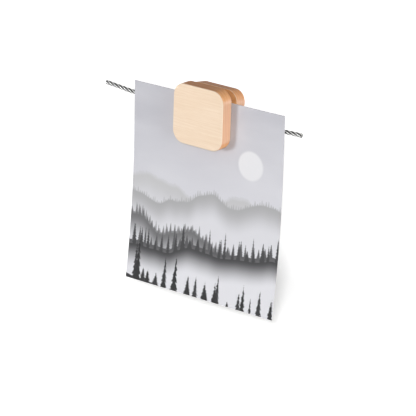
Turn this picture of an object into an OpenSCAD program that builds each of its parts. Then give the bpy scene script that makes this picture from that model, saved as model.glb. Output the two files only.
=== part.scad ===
// Wooden photo clip on a steel rope.
// Two wood blocks, each with a disc magnet glued into its inner face, lie either side of a taut rope.
// The magnets pull below the rope, so the blocks rock on it until their lower edges nip a photo print.
// Origin on the rope's axis at the middle of the clip. X runs along the rope, Y away from the viewer
// and Z up. Millimetres and degrees.

/* [Wood blocks] */
// Width of each block, along the rope
block_w = 35; // [30:0.5:45]
// Height of each block
block_h = 35; // [32:0.5:45]
// Thickness of each block
block_t = 7.9; // [6:0.1:12]
// Radius of the four corners, seen from the front
corner_r = 7.5; // [4:0.5:12]
// Radius of the eased edges round both faces
arris_r = 0.6; // [0.3:0.1:1.5]
// How far the front block's middle hangs below the rope
front_drop = 1; // [0:0.1:3]
// How far the rear block's middle hangs below the rope
rear_drop = 2.5; // [1:0.1:4]

/* [Magnets] */
// Diameter of each disc magnet
magnet_d = 12; // [8:0.5:18]
// Thickness of each disc magnet
magnet_t = 3; // [2:0.1:4]
// Bevel on the magnets' rims
magnet_bevel = 0.3; // [0.1:0.1:0.6]
// Glue gap round a magnet in its bore
magnet_glue = 0.1; // [0.05:0.05:0.3]
// How far a magnet lies below the block's inner face
magnet_recess = 0.2; // [0.1:0.1:0.8]

/* [Rope] */
// Diameter of the rope
rope_d = 2.6; // [1.5:0.1:3]
// Straight stretch that the clip slides on, left of the middle
run_left = 46; // [25:1:80]
// Straight stretch that the clip slides on, right of the middle
run_right = 50; // [25:1:80]
// Radius of the gentle bends past the straight stretch
bend_r = 150; // [60:5:300]
// How steeply the left end rises
rise_left = 4.5; // [1:0.5:12]
// How steeply the right end rises
rise_right = 2; // [1:0.5:12]
// Length of the left end, past its bend
tail_left = 17; // [8:0.5:40]
// Length of the right end, past its bend
tail_right = 9; // [8:0.5:40]

/* [Print] */
// Width of the print
print_w = 106; // [60:1:130]
// Height of the print, measured along its curl
print_h = 118.5; // [70:0.5:160]
// Thickness of the card
print_t = 0.3; // [0.2:0.05:0.6]
// How far the print's top edge stands above the rope
print_top = 9; // [3:0.5:14]
// How far the print hangs off centre, to the right
print_shift = 1; // [-8:0.5:8]
// How far the print hangs out of square, with its right side up
print_skew = 0.8; // [-3:0.1:3]
// Radius of the curl below the clip
curl_r = 620; // [300:10:1500]

/* [Clearances] */
// Rope to the rear block
rope_seat = 0.15; // [0.1:0.05:0.3]
// Rope to the print
rope_play = 0.4; // [0.2:0.05:0.8]
// Print to the front block
print_seat = 0.1; // [0.05:0.05:0.3]
// Print to the lower edge of the rear block, where the jaws have closed
nip_gap = 0.14; // [0.1:0.02:0.3]

/* [Hidden] */
$fn = 96;

WOOD = [0.93, 0.79, 0.63];
NICKEL = [0.72, 0.73, 0.75];
STEEL = [0.55, 0.55, 0.56];
CARD = [0.83, 0.83, 0.86];

// Distances from the rope's axis to the inner faces and to the back of the print
rear_gap = rope_d / 2 + rope_seat;
print_back = rope_d / 2 + rope_play;
front_gap = print_back + print_t + print_seat;

// The jaws close until the flat of the rear block's inner face, at its lower end, meets the print
nip_depth = rear_drop + block_h / 2 - arris_r;
jaw_angle = acos((nip_gap - print_back) / norm([rear_gap, nip_depth])) - atan2(nip_depth, rear_gap);

// Straight sides between the rounded corners
side_w = block_w - 2 * corner_r;
side_h = block_h - 2 * corner_r;

bore_d = magnet_d + 2 * magnet_glue;
bore_depth = magnet_t + magnet_recess;

// The rope's straight lengths lap over the ends of its bends, which are a hair thinner
bend_lap = 0.5;
bend_d = rope_d - 0.04;

// The print is flat down to the rear block's lower edge and curls towards the viewer below it
flat_low = rear_drop + block_h / 2;
curl_angle = (print_h - print_top - flat_low) / curl_r * 180 / PI;

// Places what belongs to the front block, leaning with its top towards the viewer
module front_half() {
  rotate([jaw_angle / 2, 0, 0]) children();
}

// Places what belongs to the rear block, leaning the other way and facing the front one
module rear_half() {
  rotate([-jaw_angle / 2, 0, 0]) translate([0, rear_gap, -rear_drop]) rotate([0, 0, 180]) children();
}

// Section through a block's rim: the outer edge is eased on both faces
module rim_section() {
  square([corner_r - arris_r, block_t]);
  translate([0, arris_r]) square([corner_r, block_t - 2 * arris_r]);
  for (y = [arris_r, block_t - arris_r]) translate([corner_r - arris_r, y]) circle(arris_r);
}

// One straight side of the rim
module rim_side(length) {
  rotate([90, 0, 0]) linear_extrude(length, center = true) rim_section();
}

// Rounded square slab, lying flat, with the same rim carried round its sides and corners
module slab() {
  translate([-side_w / 2, -side_h / 2, 0]) cube([side_w, side_h, block_t]);
  for (turn = [0, 180]) rotate(turn) {
    translate([side_w / 2, 0, 0]) rim_side(side_h);
    rotate(90) translate([side_h / 2, 0, 0]) rim_side(side_w);
    translate([side_w / 2, side_h / 2, 0]) rotate_extrude(angle = 90) rim_section();
    translate([-side_w / 2, side_h / 2, 0]) rotate(90) rotate_extrude(angle = 90) rim_section();
  }
}

// One block, upright, with the middle of its inner face at the origin and the wood on the -Y side
module wood_block() {
  difference() {
    rotate([90, 0, 0]) slab();
    translate([0, 1, 0]) rotate([90, 0, 0]) cylinder(d = bore_d, h = bore_depth + 1);
  }
}

// One disc magnet on the floor of a block's bore
module disc_magnet() {
  r = magnet_d / 2;
  b = magnet_bevel;
  section = [[0, 0], [r - b, 0], [r, b], [r, magnet_t - b], [r - b, magnet_t], [0, magnet_t]];
  translate([0, -magnet_recess, 0]) rotate([90, 0, 0]) rotate_extrude() polygon(section);
}

// One end of the rope: a gentle bend upwards, then a straight tail, starting at the origin along +X
module rope_end(rise, tail) {
  translate([0, 0, bend_r]) rotate([90, 0, 0]) rotate([0, 0, -90])
    rotate_extrude(angle = rise) translate([bend_r, 0]) circle(d = bend_d);
  translate([bend_r * sin(rise), 0, bend_r * (1 - cos(rise))]) rotate([0, 90 - rise, 0])
    translate([0, 0, -bend_lap]) cylinder(d = rope_d, h = bend_lap + tail);
}

// The card, with its back against the rope: flat in the clip, then curled about a line across it
module card() {
  translate([-print_w / 2, -print_back - print_t, -flat_low]) cube([print_w, print_t, flat_low + print_top]);
  translate([0, -print_back - curl_r, -flat_low]) rotate([-90, 0, 0]) rotate([0, -90, 0])
    rotate_extrude(angle = curl_angle, $fn = 720)
      translate([curl_r - print_t, -print_w / 2]) square([print_t, print_w]);
}

module front_block() {
  color(WOOD) front_half() translate([0, -front_gap, -front_drop]) wood_block();
}

module rear_block() {
  color(WOOD) rear_half() wood_block();
}

module front_magnet() {
  color(NICKEL) front_half() translate([0, -front_gap, -front_drop]) disc_magnet();
}

module rear_magnet() {
  color(NICKEL) rear_half() disc_magnet();
}

module steel_rope() {
  color(STEEL) {
    translate([-run_left - bend_lap, 0, 0]) rotate([0, 90, 0])
      cylinder(d = rope_d, h = run_left + run_right + 2 * bend_lap);
    translate([run_right, 0, 0]) rope_end(rise_right, tail_right);
    rotate(180) translate([run_left, 0, 0]) rope_end(rise_left, tail_left);
  }
}

module photo_print() {
  color(CARD) front_half() translate([print_shift, 0, 0]) rotate([0, -print_skew, 0]) card();
}

front_block();
rear_block();
front_magnet();
rear_magnet();
steel_rope();
photo_print();
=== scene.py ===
"""Looks of the wooden photo clip on its steel rope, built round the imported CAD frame.

The frame is in metres: the rope runs along X through the origin, Y points away from the viewer and
Z up. The wood blocks and their magnets are the CAD nodes with wood and nickel finishes. The rope is
twisted from its wires along the CAD route, and the print is a thin curled card with a generic
picture of misty hills.
"""
import math

import bpy
from mathutils import Matrix, Vector


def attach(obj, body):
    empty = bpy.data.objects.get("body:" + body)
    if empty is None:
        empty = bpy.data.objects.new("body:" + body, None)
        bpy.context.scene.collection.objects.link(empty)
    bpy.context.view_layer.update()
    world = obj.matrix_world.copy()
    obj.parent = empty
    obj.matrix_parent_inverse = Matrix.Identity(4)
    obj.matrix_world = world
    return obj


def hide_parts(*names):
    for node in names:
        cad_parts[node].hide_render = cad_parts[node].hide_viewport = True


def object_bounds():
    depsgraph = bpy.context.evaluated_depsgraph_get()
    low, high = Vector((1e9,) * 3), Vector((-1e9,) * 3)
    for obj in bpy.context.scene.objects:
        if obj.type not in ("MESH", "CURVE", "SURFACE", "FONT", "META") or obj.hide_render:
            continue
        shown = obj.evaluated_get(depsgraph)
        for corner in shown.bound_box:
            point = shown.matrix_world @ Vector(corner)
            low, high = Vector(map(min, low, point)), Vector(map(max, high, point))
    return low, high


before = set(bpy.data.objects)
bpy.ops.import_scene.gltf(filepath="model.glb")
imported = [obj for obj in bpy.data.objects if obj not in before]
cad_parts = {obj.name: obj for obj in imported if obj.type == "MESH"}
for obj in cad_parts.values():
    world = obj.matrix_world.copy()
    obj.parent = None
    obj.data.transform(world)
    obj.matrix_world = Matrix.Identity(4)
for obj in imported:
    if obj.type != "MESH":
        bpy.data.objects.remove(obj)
cad_low, cad_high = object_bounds()

MM = 0.001

# Sizes that the looks share with the solids, in millimetres and degrees
ROPE_D = 2.6
RUN_LEFT, RUN_RIGHT = 46.0, 50.0
BEND_R = 150.0
RISE_LEFT, RISE_RIGHT = 4.5, 2.0
TAIL_LEFT, TAIL_RIGHT = 17.0, 9.0
HALF_JAW = 4.437
PRINT_W, PRINT_H, PRINT_T = 106.0, 118.5, 0.3
PRINT_TOP, PRINT_SHIFT, PRINT_SKEW = 9.0, 1.0, 0.8
PRINT_BACK, FLAT_LOW, CURL_R = 1.7, 20.0, 620.0


# Small helpers for node trees

def put(tree, kind, inputs=None, **settings):
    """Adds a node, applies its settings, then sets or links its inputs by name or number."""
    node = tree.nodes.new(kind)
    for key, value in settings.items():
        setattr(node, key, value)
    for key, value in (inputs or {}).items():
        if isinstance(value, bpy.types.NodeSocket):
            tree.links.new(value, node.inputs[key])
        else:
            node.inputs[key].default_value = value
    return node


def result(tree, kind, inputs=None, **settings):
    """Adds a node as put does; returns its first output."""
    return put(tree, kind, inputs, **settings).outputs[0]


def calc(tree, operation, *values, clamp=False):
    """One Math node; returns its output."""
    inputs = dict(enumerate(values))
    return result(tree, "ShaderNodeMath", inputs, operation=operation, use_clamp=clamp)


def weighted(tree, base, *terms):
    """A base value plus each term's value times its weight."""
    total = base
    for value, weight in terms:
        total = calc(tree, "MULTIPLY_ADD", value, weight, total)
    return total


def vcalc(tree, operation, *values):
    """One Vector Math node; returns its vector output."""
    return result(tree, "ShaderNodeVectorMath", dict(enumerate(values)), operation=operation)


def measure(tree, operation, first, second):
    """One Vector Math node that gives a number, such as a distance or a dot product."""
    node = put(tree, "ShaderNodeVectorMath", {0: first, 1: second}, operation=operation)
    return node.outputs["Value"]


def scaled(tree, vector, factor):
    """A vector times a number."""
    return result(tree, "ShaderNodeVectorMath", {0: vector, 3: factor}, operation="SCALE")


def axes(tree, vector):
    """The X, Y and Z of a vector."""
    return put(tree, "ShaderNodeSeparateXYZ", {0: vector}).outputs


def ramp(tree, value, low, high):
    """A smooth step of value, from 0 at low to 1 at high."""
    inputs = {0: value, 1: low, 2: high}
    return result(tree, "ShaderNodeMapRange", inputs, interpolation_type="SMOOTHSTEP")


def mixed(tree, share, first, second, most=1.0):
    """Colour mix of first and second by share, which is first brought down to the part in most."""
    if most < 1:
        share = calc(tree, "MULTIPLY", share, most)
    return put(tree, "ShaderNodeMix", {0: share, 6: first, 7: second}, data_type="RGBA").outputs[2]


def noise(tree, vector, scale, detail=2.0, roughness=0.5):
    """A 3-D noise value about 0.5; scale is one number, or three for the three axes."""
    if isinstance(scale, tuple):
        vector, scale = vcalc(tree, "MULTIPLY", vector, scale), 1.0
    inputs = {"Vector": vector, "Scale": scale, "Detail": detail, "Roughness": roughness}
    return result(tree, "ShaderNodeTexNoise", inputs)


def grey(level, blue=0):
    """A grey from its display level of 0 to 255, with that much more blue, made linear."""
    def linear(shade):
        share = shade / 255
        return share / 12.92 if share <= 0.04045 else ((share + 0.055) / 1.055) ** 2.4
    return (linear(level), linear(level), linear(level + blue), 1.0)


def group(name, tree_type, inputs, outputs):
    """An empty node group with named sockets; returns the tree, its input node and its output node."""
    tree = bpy.data.node_groups.new(name, tree_type)
    for direction, sockets in (("INPUT", inputs), ("OUTPUT", outputs)):
        for label, kind, *default in sockets:
            kind = "NodeSocket" + kind
            socket = tree.interface.new_socket(label, in_out=direction, socket_type=kind)
            if default:
                socket.default_value = default[0]
    return tree, tree.nodes.new("NodeGroupInput"), tree.nodes.new("NodeGroupOutput")


def material(name):
    """A new node material; returns it with its tree and its Principled shader."""
    made = bpy.data.materials.new(name)
    made.use_nodes = True
    return made, made.node_tree, made.node_tree.nodes["Principled BSDF"]


def bumped(tree, shader, height, strength, distance):
    """Feeds a height to the shader's normal."""
    inputs = {"Height": height, "Strength": strength, "Distance": distance}
    tree.links.new(result(tree, "ShaderNodeBump", inputs), shader.inputs["Normal"])


def link_object(name, data):
    """An object of that mesh, lamp or camera, in the scene and at the origin."""
    made = bpy.data.objects.new(name, data)
    bpy.context.scene.collection.objects.link(made)
    return made


def way_to(azimuth, elevation):
    """The way from the clip to a place at those angles, in degrees; azimuth 0 is the viewer's side."""
    az, el = math.radians(azimuth), math.radians(elevation)
    return Vector((math.sin(az) * math.cos(el), -math.cos(az) * math.cos(el), math.sin(el)))


# Camera, at the photograph's viewing angle

IMAGE = 416
SENSOR = 36
FOCAL_PX = 2382.5
AZIMUTH, ELEVATION, ROLL = 36.2724, 16.2356, 4.7055
ORIGIN_PX = (208.677, 111.842)
PX_PER_MM = 1.786
FAR_CLIP = 50


def make_camera():
    """The camera: the frame's origin shows at ORIGIN_PX, at PX_PER_MM there."""
    az, roll = math.radians(AZIMUTH), math.radians(ROLL)
    back = way_to(AZIMUTH, ELEVATION)
    level = Vector((math.cos(az), math.sin(az), 0))
    upright = back.cross(level)
    right = level * math.cos(roll) + upright * math.sin(roll)
    up = upright * math.cos(roll) - level * math.sin(roll)
    aside, above = IMAGE / 2 - ORIGIN_PX[0], ORIGIN_PX[1] - IMAGE / 2
    place = (right * aside + up * above + back * FOCAL_PX) / PX_PER_MM
    data = bpy.data.cameras.new("camera")
    data.sensor_width = SENSOR
    data.lens = FOCAL_PX / IMAGE * SENSOR
    data.clip_end = FAR_CLIP
    camera = link_object("camera", data)
    turn = Matrix((right, up, back)).transposed().to_4x4()
    camera.matrix_world = Matrix.Translation(place * MM) @ turn
    bpy.context.scene.camera = camera


make_camera()
bpy.context.scene.view_settings.view_transform = "Standard"


# Steel rope: strands of seven wires round a thin core of seven, twisted along the CAD route

STRANDS = 5
WIRES = 7
WIRES_ACROSS = 3
STRAND_LAY = 18.0
WIRE_LAY = 7.0
WIRE_STEP = 0.6
WIRE_SIDES = 6
ROUTE_STEP = 2.5
BEND_POINTS = 8
TONE_SEED = 7

# A strand's diameter as a share of the rope's, with the strands touching, and the core's of a strand's
STRAND_SHARE = math.sin(math.pi / STRANDS) / (1 + math.sin(math.pi / STRANDS))
CORE_SHARE = (1 - 2 * STRAND_SHARE) / STRAND_SHARE
# A wire's radius as a share of the wires' spacing: over a half, so that neighbours press together
WIRE_SWELL = 0.57

# The bright wire colours are a painted highlight on the crowns and crests; the flank and gap colours are
# painted shade on the wires' sides and between wires and strands
WIRE_HIGHLIGHT = (0.9, 0.9, 0.89, 1)
WIRE_HIGHLIGHT_BRIGHTEST = (1.0, 1.0, 0.99, 1)
WIRE_MARKS = (0.64, 0.63, 0.61, 1)
SHADED_WIRE_FLANK = (0.30, 0.30, 0.30, 1)
SHADED_GAP_CREST = (0.09, 0.09, 0.09, 1)
SHADED_GAP_FLANK = (0.008, 0.008, 0.009, 1)
CUT_DARK = (0.36, 0.36, 0.35, 1)
CUT_LIGHT = (0.62, 0.62, 0.6, 1)
STEEL_TINT = (0.1, 0.1, 0.1, 1)


def even_steps(length):
    """Distances up to length, evenly spaced by about the route's step."""
    count = math.ceil(length / ROUTE_STEP)
    return [length * k / count for k in range(1, count + 1)]


def half_route(run, rise, tail):
    """Distances and heights from the clip to one end of the rope: a run, a bend and a rising tail."""
    angle = math.radians(rise)
    points = [(x, 0.0) for x in even_steps(run)]
    for k in range(1, BEND_POINTS + 1):
        turn = angle * k / BEND_POINTS
        points.append((run + BEND_R * math.sin(turn), BEND_R * (1 - math.cos(turn))))
    x, z = points[-1]
    points += [(x + way * math.cos(angle), z + way * math.sin(angle)) for way in even_steps(tail)]
    return points


def rope_route():
    """Points along the rope's axis from its left end to its right end, in metres."""
    left = [Vector((-x, 0, z)) for x, z in reversed(half_route(RUN_LEFT, RISE_LEFT, TAIL_LEFT))]
    right = [Vector((x, 0, z)) for x, z in half_route(RUN_RIGHT, RISE_RIGHT, TAIL_RIGHT)]
    return [point * MM for point in left + [Vector((0, 0, 0))] + right]


def stored(tree, geometry, label, value, kind="FLOAT"):
    """Keeps a value on the points of a geometry."""
    inputs = {"Geometry": geometry, "Name": label, "Value": value}
    return result(tree, "GeometryNodeStoreNamedAttribute", inputs, data_type=kind, domain="POINT")


def recalled(tree, label, kind="FLOAT"):
    """A value that was kept on the points."""
    return result(tree, "GeometryNodeInputNamedAttribute", {"Name": label}, data_type=kind)


def rope_tree():
    """Geometry Nodes: copies the route once for each wire, winds the copies and thickens them."""
    tree, start, end = group("rope_wires", "GeometryNodeTree", [
        ("Route", "Geometry"), ("Rope Diameter", "Float", 0.002), ("Strand Lay", "Float", 0.02),
        ("Wire Lay", "Float", 0.007), ("Step", "Float", 0.0006), ("Sides", "Int", 5),
        ("Steel", "Material"),
    ], [("Wires", "Geometry")])
    into = start.outputs
    line = result(tree, "GeometryNodeMeshToCurve", {"Mesh": into["Route"]})
    line = result(tree, "GeometryNodeResampleCurve", {"Curve": line, "Length": into["Step"]},
                  mode="LENGTH")
    copies = put(tree, "GeometryNodeDuplicateElements",
                 {"Geometry": line, "Amount": WIRES * (STRANDS + 1)}, domain="SPLINE")

    # Which wire of which strand a copy is: the last strand is the core, the last wire a strand's middle
    number = copies.outputs["Duplicate Index"]
    strand = calc(tree, "FLOOR", calc(tree, "DIVIDE", number, WIRES))
    wire = calc(tree, "MODULO", number, WIRES)
    outer_strand = calc(tree, "LESS_THAN", strand, STRANDS - 0.5)
    outer_wire = calc(tree, "LESS_THAN", wire, WIRES - 1.5)

    # How thick strands and wires are, and how far they lie from the middle of the rope or the strand
    strand_d = calc(tree, "MULTIPLY", into["Rope Diameter"], STRAND_SHARE)
    wire_d = calc(tree, "DIVIDE", strand_d, WIRES_ACROSS)
    slim = result(tree, "ShaderNodeMix", {0: outer_strand, 2: CORE_SHARE, 3: 1.0})
    strand_r = calc(tree, "MULTIPLY", into["Rope Diameter"], (1 - STRAND_SHARE) / 2)
    strand_r = calc(tree, "MULTIPLY", strand_r, outer_strand)
    wire_r = calc(tree, "MULTIPLY", calc(tree, "MULTIPLY", wire_d, slim), outer_wire)

    # The helix of each strand round the rope, and of each wire round its strand
    along = tree.nodes.new("GeometryNodeSplineParameter").outputs["Length"]

    def turned(lay, sense, place, count):
        turns = calc(tree, "MULTIPLY", calc(tree, "DIVIDE", along, lay), sense * math.tau)
        return calc(tree, "MULTIPLY_ADD", place, math.tau / count, turns)

    def around(angle, first, second):
        return vcalc(tree, "ADD", scaled(tree, first, calc(tree, "COSINE", angle)),
                     scaled(tree, second, calc(tree, "SINE", angle)))

    tangent = result(tree, "GeometryNodeInputTangent")
    across = (0.0, 1.0, 0.0)
    upward = vcalc(tree, "NORMALIZE", vcalc(tree, "CROSS_PRODUCT", tangent, across))
    outward = around(turned(into["Strand Lay"], -1, strand, STRANDS), upward, across)
    ring = vcalc(tree, "CROSS_PRODUCT", outward, tangent)
    slope = calc(tree, "DIVIDE", calc(tree, "MULTIPLY", strand_r, -math.tau), into["Strand Lay"])
    strand_way = vcalc(tree, "NORMALIZE", vcalc(tree, "ADD", tangent, scaled(tree, ring, slope)))
    beside = vcalc(tree, "CROSS_PRODUCT", strand_way, outward)
    wire_turn = turned(into["Wire Lay"], 1, wire, WIRES - 1)
    to_strand = scaled(tree, outward, strand_r)
    to_wire = scaled(tree, around(wire_turn, outward, beside), wire_r)

    # The wires, with what their surface needs to know of their strand
    tone = put(tree, "FunctionNodeRandomValue", {"ID": number, "Seed": TONE_SEED}, data_type="FLOAT")
    place = result(tree, "GeometryNodeInputPosition")
    outer_way = scaled(tree, outward, outer_strand)
    wound = stored(tree, copies.outputs[0], "tone", tone.outputs[1])
    wound = stored(tree, wound, "heart", vcalc(tree, "ADD", place, to_strand), "FLOAT_VECTOR")
    wound = stored(tree, wound, "outward", outer_way, "FLOAT_VECTOR")
    wound = stored(tree, wound, "slim", slim)
    offset = vcalc(tree, "ADD", to_strand, to_wire)
    wound = result(tree, "GeometryNodeSetPosition", {"Geometry": wound, "Offset": offset})
    section = {"Resolution": into["Sides"], "Radius": calc(tree, "MULTIPLY", wire_d, WIRE_SWELL)}
    profile = result(tree, "GeometryNodeCurvePrimitiveCircle", section)
    sweep = {"Curve": wound, "Profile Curve": profile, "Scale": recalled(tree, "slim"),
             "Fill Caps": True}
    wires = result(tree, "GeometryNodeCurveToMesh", sweep)

    # Crown: how far out of the rope a point lies in its strand. Crest: how squarely it faces outwards
    lift = vcalc(tree, "SUBTRACT", place, recalled(tree, "heart", "FLOAT_VECTOR"))
    height = measure(tree, "DOT_PRODUCT", lift, recalled(tree, "outward", "FLOAT_VECTOR"))
    crown = calc(tree, "DIVIDE", height, calc(tree, "MULTIPLY", strand_d, 0.5))
    normal = result(tree, "GeometryNodeInputNormal")
    crest = measure(tree, "DOT_PRODUCT", vcalc(tree, "NORMALIZE", lift), normal)
    # The steel's painted highlight and painted shade are drawn from these two
    wires = stored(tree, wires, "crown", crown)
    wires = stored(tree, wires, "crest", crest)
    for label in ("heart", "outward", "slim"):
        wires = result(tree, "GeometryNodeRemoveAttribute", {"Geometry": wires, "Name": label})
    wires = result(tree, "GeometryNodeSetShadeSmooth", {"Geometry": wires})
    wires = result(tree, "GeometryNodeRealizeInstances", {"Geometry": wires})
    wires = result(tree, "GeometryNodeSetMaterial", {"Geometry": wires, "Material": into["Steel"]})
    tree.links.new(wires, end.inputs[0])
    return tree


def steel_finish():
    """Drawn steel wire: a painted highlight on the strands' crowns and the wires' crests, painted shade
    on the flanks and in the gaps.
    """
    made, tree, shader = material("steel_wire")
    crown, crest, tone = (put(tree, "ShaderNodeAttribute", attribute_name=name).outputs["Fac"]
                          for name in ("crown", "crest", "tone"))
    coords = tree.nodes.new("ShaderNodeTexCoord").outputs
    drawn = noise(tree, coords["Object"], (300.0, 2500.0, 2500.0), 3.0)
    # Painted highlight where a wire lies at its strand's crown and faces outwards, painted shade in the
    # gaps and on the flanks
    lit = ramp(tree, crown, 0.60, 1.0)
    shine = ramp(tree, crest, 0.6, 0.95)
    highlighted = mixed(tree, tone, WIRE_HIGHLIGHT, WIRE_HIGHLIGHT_BRIGHTEST)
    highlighted = mixed(tree, ramp(tree, drawn, 0.5, 0.8), highlighted, WIRE_MARKS)
    highlighted = mixed(tree, shine, SHADED_WIRE_FLANK, highlighted)
    steel = mixed(tree, lit, mixed(tree, shine, SHADED_GAP_FLANK, SHADED_GAP_CREST), highlighted)
    endwise = calc(tree, "ABSOLUTE", axes(tree, coords["Normal"])[0])
    cut = mixed(tree, tone, CUT_DARK, CUT_LIGHT)
    steel = mixed(tree, ramp(tree, endwise, 0.7, 0.85), steel, cut)
    tree.links.new(steel, shader.inputs["Base Color"])
    rough = weighted(tree, 0.5, (drawn, 0.15), (lit, -0.3))
    tree.links.new(rough, shader.inputs["Roughness"])
    shader.inputs["Metallic"].default_value = 1.0
    shader.inputs["Specular Tint"].default_value = STEEL_TINT
    bumped(tree, shader, drawn, 0.15, 0.02 * MM)
    return made


def make_rope():
    """The rope's wires as one mesh along the CAD route."""
    route = rope_route()
    line = bpy.data.meshes.new("rope_route")
    line.from_pydata(route, [(k, k + 1) for k in range(len(route) - 1)], [])
    carrier = link_object("rope_route", line)
    tree = rope_tree()
    winding = carrier.modifiers.new("winding", "NODES")
    winding.node_group = tree
    sizes = {"Rope Diameter": ROPE_D * MM, "Strand Lay": STRAND_LAY * MM, "Wire Lay": WIRE_LAY * MM,
             "Step": WIRE_STEP * MM, "Sides": WIRE_SIDES, "Steel": steel_finish()}
    for socket in tree.interface.items_tree:
        if socket.in_out == "INPUT" and socket.name in sizes:
            winding[socket.identifier] = sizes[socket.name]
    ready = carrier.evaluated_get(bpy.context.evaluated_depsgraph_get())
    mesh = bpy.data.meshes.new_from_object(ready)
    mesh.name = "rope_wires"
    bpy.data.objects.remove(carrier)
    rope = link_object("rope_wires", mesh)
    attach(rope, "rope")
    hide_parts("steel_rope")


make_rope()


# Wood blocks: flat sawn boards with the grain along the rope

FACE_LIGHT = (0.94, 0.76, 0.585, 1)
FACE_DARK = (0.88, 0.685, 0.505, 1)
FACE_LAYER = (0.86, 0.66, 0.47, 1)
FACE_FLECK = (0.84, 0.63, 0.44, 1)
# A pale painted highlight for the eased edges
FACE_EDGE_HIGHLIGHT = (0.95, 0.79, 0.62, 1)
# The inner face's colours are painted shade for the gap between the blocks
INNER_SHADE_LIGHT = (0.82, 0.43, 0.19, 1)
INNER_SHADE_DARK = (0.72, 0.33, 0.122, 1)
# The brown of the top and bottom edges is partly the edge grain's tone and partly painted shade
EDGE_LIGHT = (0.695, 0.315, 0.135, 1)
EDGE_DARK = (0.545, 0.222, 0.082, 1)
TURN_LIGHT = (0.98, 0.51, 0.235, 1)
TURN_DARK = (0.90, 0.41, 0.16, 1)
END_LIGHT = (0.97, 0.59, 0.38, 1)
END_DARK = (0.90, 0.48, 0.285, 1)

# The boards' growth layers: how high their heart lies and how far they wander; then how far from the
# middle the edges' painted light reaches its lightest, warmest tone towards the right end
HEART_HEIGHT = 6.0
LAYER_WANDER = 4.0
PAINTED_LIGHT_REACH = 18.0

BOARDS = (
    # block, its lean, its place along the board, depth of the heart, inner side, tone of the edges
    ("front_block", HALF_JAW, 0.0, 60.0, 1, (1, 1, 1)),
    ("rear_block", -HALF_JAW, 71.0, -52.0, -1, (0.91, 0.86, 0.84)),
)


def grain_group():
    """Growth layers, fibres, ray flecks and pores of a flat sawn board, from a place in metres."""
    tree, start, end = group("flat_sawn_grain", "ShaderNodeTree", [
        ("Place", "Vector"), ("Layer Spacing", "Float", 2.2), ("Heart Depth", "Float", 60.0),
    ], [("Layers", "Float"), ("Fibres", "Float"), ("Flecks", "Float"), ("Pores", "Float")])
    place = scaled(tree, start.outputs["Place"], 1 / MM)
    wander = noise(tree, place, (0.012, 0.05, 0.05))
    flat = vcalc(tree, "MULTIPLY", place, (0.0, 1.0, 1.0))
    heart = result(tree, "ShaderNodeCombineXYZ", {1: start.outputs["Heart Depth"], 2: HEART_HEIGHT})
    depth = weighted(tree, measure(tree, "DISTANCE", flat, heart), (wander, LAYER_WANDER))
    part = calc(tree, "FRACT", calc(tree, "DIVIDE", depth, start.outputs["Layer Spacing"]))
    layers = calc(tree, "SUBTRACT", ramp(tree, part, 0.35, 0.9), ramp(tree, part, 0.9, 1.0), clamp=True)
    fibres = noise(tree, place, (0.035, 1.3, 1.3), 4.0, 0.6)
    flecks = noise(tree, place, (0.22, 1.0, 1.7), 1.0)
    pores = noise(tree, place, (0.5, 5.0, 5.0))
    tree.links.new(layers, end.inputs["Layers"])
    tree.links.new(ramp(tree, fibres, 0.3, 0.72), end.inputs["Fibres"])
    tree.links.new(ramp(tree, flecks, 0.56, 0.7), end.inputs["Flecks"])
    tree.links.new(ramp(tree, pores, 0.6, 0.75), end.inputs["Pores"])
    return tree


GRAIN = grain_group()


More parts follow.
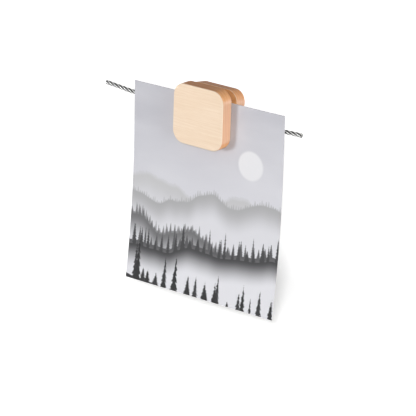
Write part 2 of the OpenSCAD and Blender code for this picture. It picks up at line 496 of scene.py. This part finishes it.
def wood_finish(name, lean, along, depth, inner, tone):
    """Sanded pale hardwood: cream faces, warmer edges, end grain left and right, painted shade on the
    inner face, painted highlights on the eased edges.
    """
    def toned(colour):
        return tuple(level * share for level, share in zip(colour, tone)) + (1,)

    made, tree, shader = material(name)
    coords = tree.nodes.new("ShaderNodeTexCoord").outputs
    onto_board = {"Vector": coords["Object"], "Location": (along * MM, 0, 0),
                  "Rotation": (math.radians(-lean), 0, 0)}
    place = result(tree, "ShaderNodeMapping", onto_board)
    grain = put(tree, "ShaderNodeGroup", {"Place": place, "Heart Depth": depth}, node_tree=GRAIN)
    layers, fibres, flecks, pores = (grain.outputs[k] for k in ("Layers", "Fibres", "Flecks", "Pores"))
    normal = axes(tree, coords["Normal"])
    endwise, facing = (calc(tree, "ABSOLUTE", normal[k]) for k in (0, 1))

    # Faces: cream outside; on the inner side, facing the gap between the blocks, a darker and warmer
    # painted shade over the grain
    face = mixed(tree, fibres, FACE_LIGHT, FACE_DARK)
    face = mixed(tree, layers, face, FACE_LAYER, most=0.2)
    face = mixed(tree, flecks, face, FACE_FLECK, most=0.35)
    inner_shade = ramp(tree, calc(tree, "MULTIPLY", normal[1], float(inner)), 0.5, 0.95)
    face = mixed(tree, inner_shade, face, mixed(tree, fibres, INNER_SHADE_LIGHT, INNER_SHADE_DARK))

    # Edges: brown along the top and the bottom (partly the edge grain's tone, partly painted shade),
    # orange round the corners, pink end grain on the sides
    streaks = weighted(tree, 0.0, (layers, 0.6), (fibres, 0.4))
    turn = mixed(tree, streaks, toned(TURN_LIGHT), toned(TURN_DARK))
    # Painted light: the edges along the top and the bottom turn lighter and warmer towards the right end
    painted_edge_light = ramp(tree, axes(tree, coords["Object"])[0], 0.0, PAINTED_LIGHT_REACH * MM)
    edge = mixed(tree, streaks, toned(EDGE_LIGHT), toned(EDGE_DARK))
    edge = mixed(tree, painted_edge_light, edge, turn, most=0.6)
    rings = weighted(tree, 0.0, (layers, 0.6), (pores, 0.4))
    ends = mixed(tree, rings, toned(END_LIGHT), toned(END_DARK))
    rim = mixed(tree, ramp(tree, endwise, 0.0, 0.5), edge, turn)
    rim = mixed(tree, ramp(tree, endwise, 0.9, 0.998), rim, ends)

    # Eased edges between them get a pale painted highlight, less so round the inner face's painted shade
    edge_highlight = mixed(tree, weighted(tree, 0.5, (inner_shade, -0.5)), face, FACE_EDGE_HIGHLIGHT)
    colour = mixed(tree, ramp(tree, facing, 0.25, 0.6), rim, edge_highlight)
    colour = mixed(tree, ramp(tree, facing, 0.9, 0.985), colour, face)
    tree.links.new(colour, shader.inputs["Base Color"])
    rough = weighted(tree, 0.5, (fibres, 0.12), (pores, 0.1))
    tree.links.new(rough, shader.inputs["Roughness"])
    shader.inputs["Specular IOR Level"].default_value = 0.3
    bumped(tree, shader, weighted(tree, 0.0, (fibres, -0.6), (pores, -0.5)), 0.25, 0.06 * MM)
    return made


for block, *board in BOARDS:
    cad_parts[block].data.materials[0] = wood_finish(block + "_wood", *board)


# Disc magnets: nickel plate with fine rubbing marks

NICKEL_DARK = (0.66, 0.65, 0.62, 1)
NICKEL_LIGHT = (0.78, 0.77, 0.75, 1)


def nickel_finish():
    """Nickel plate, a little clouded, with rubbing marks across the discs."""
    made, tree, shader = material("magnet_nickel")
    place = tree.nodes.new("ShaderNodeTexCoord").outputs["Object"]
    cloud = noise(tree, place, 350.0, 3.0)
    marks = noise(tree, place, (4000.0, 4000.0, 300.0))
    tree.links.new(mixed(tree, cloud, NICKEL_DARK, NICKEL_LIGHT), shader.inputs["Base Color"])
    rough = weighted(tree, 0.12, (ramp(tree, marks, 0.4, 0.7), 0.15), (cloud, 0.2))
    tree.links.new(rough, shader.inputs["Roughness"])
    shader.inputs["Metallic"].default_value = 1.0
    bumped(tree, shader, marks, 0.08, 0.02 * MM)
    return made


nickel = nickel_finish()
for magnet in ("front_magnet", "rear_magnet"):
    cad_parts[magnet].data.materials[0] = nickel


# Photo print: a curled card with a generic picture of misty hills

SKY_LOW, SKY_HIGH = grey(222, 6), grey(196, 7)
SKY_CLOUD = grey(226, 5)
SUN = grey(236, 3)
SUN_SPOT = (0.79, 0.80, 0.0)
SUN_OUTSIDE, SUN_INSIDE = 0.088, 0.072
PICTURE_GRIT = grey(90, 2)
PAPER_DARK, PAPER_LIGHT = grey(226, -2), grey(240, -2)
CREST_BLUE, MIST_BLUE = 2, 5
COLUMNS, ROWS = 53, 118
SHARP_EDGE = 40
FIR_TIERS = 7

RANGE_SHAPE = ("Level", "Slope", "Swell", "Hills", "Fir Height", "Firs", "Seed", "Blur", "Fade")
RANGES = (
    # level, slope, swell, hills, fir height, firs, seed, blur, fade, crest tone, mist tone
    (0.54, -0.06, 0.16, 3.1, 0.014, 90.0, 11.3, 0.030, 0.16, 200, 221),
    (0.44, 0.10, 0.20, 2.6, 0.030, 66.0, 47.9, 0.010, 0.14, 176, 225),
    (0.34, -0.14, 0.22, 2.9, 0.060, 41.0, 83.1, 0.007, 0.15, 136, 229),
    (0.33, -0.14, 0.22, 2.9, 0.060, 37.0, 83.1, 0.006, 0.15, 112, 229),
    (0.18, 0.12, 0.14, 2.3, 0.120, 25.0, 29.7, 0.005, 0.13, 84, 232),
    (0.16, 0.12, 0.14, 2.3, 0.150, 21.0, 29.7, 0.004, 0.13, 60, 232),
    (0.02, -0.08, 0.10, 2.0, 0.210, 14.0, 61.7, 0.004, 0.30, 42, 120),
    (0.00, -0.08, 0.10, 2.0, 0.260, 11.0, 61.7, 0.003, 0.30, 26, 100),
)


def range_group():
    """One wooded range laid over what is behind it: firs on its crest, and mist below them."""
    tree, start, end = group("wooded_range", "ShaderNodeTree", [
        ("Behind", "Color"), ("Across", "Float"), ("Up", "Float"), ("Level", "Float", 0.4),
        ("Slope", "Float", 0.0), ("Swell", "Float", 0.2), ("Hills", "Float", 3.0),
        ("Fir Height", "Float", 0.03), ("Firs", "Float", 40.0), ("Seed", "Float", 0.0),
        ("Blur", "Float", 0.01), ("Fade", "Float", 0.2), ("Crest", "Color"), ("Mist", "Color"),
    ], [("Picture", "Color")])
    into = start.outputs

    # The crest's line, and how far below it a place lies
    where = calc(tree, "MULTIPLY_ADD", into["Across"], into["Hills"], into["Seed"])
    swell = result(tree, "ShaderNodeTexNoise", {"W": where, "Scale": 1.0, "Detail": 2.0},
                   noise_dimensions="1D")
    crest = calc(tree, "MULTIPLY_ADD", into["Slope"], into["Across"], into["Level"])
    crest = calc(tree, "MULTIPLY_ADD", into["Swell"], calc(tree, "SUBTRACT", swell, 0.5), crest)
    below = calc(tree, "SUBTRACT", crest, into["Up"])
    ground = ramp(tree, calc(tree, "DIVIDE", below, into["Blur"]), -0.5, 0.5)

    # One fir in each stretch of the crest, with its own place, height, width and ragged tiers
    place = calc(tree, "MULTIPLY_ADD", into["Across"], into["Firs"], into["Seed"])
    draw = put(tree, "ShaderNodeTexWhiteNoise", {"W": calc(tree, "FLOOR", place)}, noise_dimensions="1D")
    first, second, third = put(tree, "ShaderNodeSeparateColor", {0: draw.outputs["Color"]}).outputs
    trunk = weighted(tree, 0.32, (second, 0.36))
    aside = calc(tree, "SUBTRACT", calc(tree, "FRACT", place), trunk)
    tall = calc(tree, "MULTIPLY", into["Fir Height"], weighted(tree, 0.25, (first, 0.75)))
    share = calc(tree, "DIVIDE", calc(tree, "MULTIPLY", below, -1.0), tall)
    height = calc(tree, "MULTIPLY", into["Up"], into["Firs"])
    spot = result(tree, "ShaderNodeCombineXYZ", {0: place, 1: height})
    ragged = noise(tree, spot, (5.0, 9.0, 1.0), 3.0, 0.7)
    tier = calc(tree, "FRACT", weighted(tree, calc(tree, "ADD", third, ragged), (share, FIR_TIERS)))
    wide = weighted(tree, 0.30, (tier, -0.14), (third, 0.16))
    half = calc(tree, "MULTIPLY", calc(tree, "SUBTRACT", 1.0, share), wide)
    half = weighted(tree, half, (calc(tree, "SUBTRACT", ragged, 0.55), 0.3))
    edge = calc(tree, "SUBTRACT", half, calc(tree, "ABSOLUTE", aside))
    edge = calc(tree, "DIVIDE", edge, calc(tree, "MULTIPLY", into["Blur"], into["Firs"]))
    edge = calc(tree, "SUBTRACT", edge, ramp(tree, share, 0.9, 1.0))

    cover = calc(tree, "MAXIMUM", ground, ramp(tree, edge, -0.5, 0.5))
    fade = ramp(tree, calc(tree, "DIVIDE", below, into["Fade"]), 0.0, 1.0)
    hill = mixed(tree, fade, into["Crest"], into["Mist"])
    tree.links.new(mixed(tree, cover, into["Behind"], hill), end.inputs[0])
    return tree


def print_finish():
    """Matte photo paper: a pale sky with a soft sun over ranges in mist, and the picture's grain."""
    made, tree, shader = material("print_picture")
    uv = result(tree, "ShaderNodeUVMap", uv_map="card")
    across, up, _ = axes(tree, uv)
    rising = weighted(tree, up, (across, -0.15))
    picture = mixed(tree, ramp(tree, rising, 0.2, 1.0), SKY_LOW, SKY_HIGH)
    cloud = noise(tree, uv, (1.6, 5.0, 1.0), 3.0)
    picture = mixed(tree, ramp(tree, cloud, 0.35, 0.8), picture, SKY_CLOUD, most=0.5)
    true_shape = vcalc(tree, "MULTIPLY", uv, (1.0, PRINT_H / PRINT_W, 0.0))
    from_sun = measure(tree, "DISTANCE", true_shape, SUN_SPOT)
    picture = mixed(tree, ramp(tree, from_sun, SUN_OUTSIDE, SUN_INSIDE), picture, SUN)
    wooded_range = range_group()
    for *shape, crest, mist in RANGES:
        layer = {"Behind": picture, "Across": across, "Up": up, **dict(zip(RANGE_SHAPE, shape)),
                 "Crest": grey(crest, CREST_BLUE), "Mist": grey(mist, MIST_BLUE)}
        picture = result(tree, "ShaderNodeGroup", layer, node_tree=wooded_range)
    grit = ramp(tree, noise(tree, uv, 420.0), 0.35, 0.75)
    picture = mixed(tree, grit, picture, PICTURE_GRIT, most=0.06)
    tree.links.new(picture, shader.inputs["Base Color"])
    tree.links.new(weighted(tree, 0.42, (noise(tree, uv, 60.0), 0.12)), shader.inputs["Roughness"])
    shader.inputs["Specular IOR Level"].default_value = 0.2
    bumped(tree, shader, noise(tree, uv, 300.0), 0.05, 0.02 * MM)
    return made


def paper_finish():
    """The back and the cut edges of the card: white paper with a faint fibre."""
    made, tree, shader = material("print_paper")
    place = tree.nodes.new("ShaderNodeTexCoord").outputs["Object"]
    pulp = noise(tree, place, 900.0, 4.0)
    cloud = noise(tree, place, 60.0)
    shade = weighted(tree, 0.0, (pulp, 0.5), (cloud, 0.5))
    tree.links.new(mixed(tree, shade, PAPER_DARK, PAPER_LIGHT), shader.inputs["Base Color"])
    tree.links.new(weighted(tree, 0.6, (pulp, 0.2)), shader.inputs["Roughness"])
    bumped(tree, shader, pulp, 0.1, 0.03 * MM)
    return made


def card_point(u, v, depth):
    """A point of the card: u across from the left, v down from the top, depth in from its back."""
    x, down = (u - 0.5) * PRINT_W, v * PRINT_H
    flat = PRINT_TOP + FLAT_LOW
    bend = max(down - flat, 0) / CURL_R
    y = -PRINT_BACK - CURL_R + (CURL_R - depth) * math.cos(bend)
    z = PRINT_TOP - min(down, flat) - (CURL_R - depth) * math.sin(bend)
    skewed = Matrix.Rotation(math.radians(-PRINT_SKEW), 3, "Y") @ Vector((x, y, z))
    shifted = skewed + Vector((PRINT_SHIFT, 0, 0))
    return Matrix.Rotation(math.radians(HALF_JAW), 3, "X") @ shifted * MM


def make_print():
    """The card as a closed thin shell, with the picture on its front."""
    wide = COLUMNS + 1
    back = wide * (ROWS + 1)
    points = [card_point(c / COLUMNS, r / ROWS, depth)
              for depth in (PRINT_T, 0.0) for r in range(ROWS + 1) for c in range(wide)]
    faces = []
    for r in range(ROWS):
        for c in range(COLUMNS):
            above, below = r * wide + c, (r + 1) * wide + c
            faces.append((above, below, below + 1, above + 1))
    front_count = len(faces)
    faces += [tuple(back + k for k in reversed(face)) for face in faces]
    loop = list(range(COLUMNS)) + [r * wide + COLUMNS for r in range(ROWS)]
    loop += [ROWS * wide + c for c in range(COLUMNS, 0, -1)] + [r * wide for r in range(ROWS, 0, -1)]
    faces += [(a, b, back + b, back + a) for a, b in zip(loop, loop[1:] + loop[:1])]
    mesh = bpy.data.meshes.new("print_card")
    mesh.from_pydata(points, [], faces)
    mesh.materials.append(print_finish())
    mesh.materials.append(paper_finish())
    layer = mesh.uv_layers.new(name="card")
    for face in mesh.polygons:
        face.material_index = 0 if face.index < front_count else 1
        face.use_smooth = face.index < 2 * front_count
        for corner in face.loop_indices:
            k = mesh.loops[corner].vertex_index % back
            layer.data[corner].uv = (k % wide / COLUMNS, 1 - k // wide / ROWS)
    mesh.set_sharp_from_angle(angle=math.radians(SHARP_EDGE))
    card = link_object("print_card", mesh)
    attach(card, "print")
    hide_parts("photo_print")


make_print()


# Floor, light and background

# Distances here are in metres
FLOOR_DROP = 0.036
FLOOR_HALF = 3.0
FLOOR_SEEN = (0.95, 0.95, 0.95, 1)
FLOOR_BOUNCE = (0.25, 0.25, 0.25, 1)
# The floor's own glow is least where the shadow lies, and grows from there, up to white far away
SHADOW_X, SHADOW_Y = -0.042, 0.131
GLOW_LEAST = 0.33
GLOW_GROWTH = (
    # from, to, by
    (0.015, 0.13, 0.34),
    (0.4, 1.0, 0.33),
)
AMBIENT = 0.2
LAMP_AIM = (0, 0, -0.04)

LAMPS = (
    # name, azimuth and elevation in degrees, distance, size, level
    ("key_lamp", -27, 2, 1.2, 0.3, 0.50),
    ("front_lamp", 32.6, 18, 1.5, 0.08, 0.26),
    ("side_lamp", 76, -1, 1.2, 0.6, 0.53),
    ("back_lamp", 172, 0, 1.4, 0.2, 0.8),
    ("shadow_lamp", 34.8, 17.3, 1.5, 0.055, 1.0),
)


def white_when_seen(tree):
    """1 for what the camera sees straight on, in a reflection or through glass, else 0."""
    path = tree.nodes.new("ShaderNodeLightPath").outputs
    seen = calc(tree, "MAXIMUM", path["Is Camera Ray"], path["Is Glossy Ray"])
    return calc(tree, "MAXIMUM", seen, path["Is Transmission Ray"])


def floor_finish(low):
    """Pale floor that fades to white where it is seen, and throws little light up at the object."""
    made, tree, shader = material("floor_white")
    seen = white_when_seen(tree)
    tree.links.new(mixed(tree, seen, FLOOR_BOUNCE, FLOOR_SEEN), shader.inputs["Base Color"])
    shader.inputs["Roughness"].default_value = 0.9
    shader.inputs["Specular IOR Level"].default_value = 0.0
    place = tree.nodes.new("ShaderNodeTexCoord").outputs["Object"]
    away = measure(tree, "DISTANCE", place, (SHADOW_X, SHADOW_Y, low))
    growth = [(ramp(tree, away, start, stop), rise) for start, stop, rise in GLOW_GROWTH]
    level = weighted(tree, GLOW_LEAST, *growth)
    glow = result(tree, "ShaderNodeEmission", {"Strength": calc(tree, "MULTIPLY", seen, level)})
    both = result(tree, "ShaderNodeAddShader", {0: shader.outputs[0], 1: glow})
    tree.links.new(both, tree.nodes["Material Output"].inputs["Surface"])
    return made


def make_floor():
    """A wide floor below the hanging print."""
    low = cad_low.z - FLOOR_DROP
    corners = [(x * FLOOR_HALF, y * FLOOR_HALF, low) for x, y in ((-1, -1), (1, -1), (1, 1), (-1, 1))]
    mesh = bpy.data.meshes.new("floor")
    mesh.from_pydata(corners, [], [(0, 1, 2, 3)])
    mesh.materials.append(floor_finish(low))
    floor = link_object("floor", mesh)
    return floor


def make_world():
    """White surroundings where they are seen, and a low even light everywhere else."""
    world = bpy.data.worlds.new("studio")
    bpy.context.scene.world = world
    world.use_nodes = True
    tree = world.node_tree
    sky = tree.nodes["Background"]
    sky.inputs["Color"].default_value = (1, 1, 1, 1)
    level = weighted(tree, AMBIENT, (white_when_seen(tree), 1 - AMBIENT))
    tree.links.new(level, sky.inputs["Strength"])


def make_lamp(name, azimuth, elevation, distance, size, level):
    """A square lamp that lights a face turned to it to that level, where 1 shows a colour as written."""
    way = way_to(azimuth, elevation)
    data = bpy.data.lights.new(name, "AREA")
    data.size = size
    data.energy = level * (math.pi * distance) ** 2
    lamp = link_object(name, data)
    lamp.location = Vector(LAMP_AIM) + way * distance
    lamp.rotation_euler = way.to_track_quat("Z", "Y").to_euler()
    return lamp


floor = make_floor()
make_world()
lamps = {name: make_lamp(name, *setting) for name, *setting in LAMPS}

# The shadow lamp lights the floor alone, and the object's shadow falls there
floor_alone = bpy.data.collections.new("floor_alone")
floor_alone.objects.link(floor)
lamps["shadow_lamp"].light_linking.receiver_collection = floor_alone
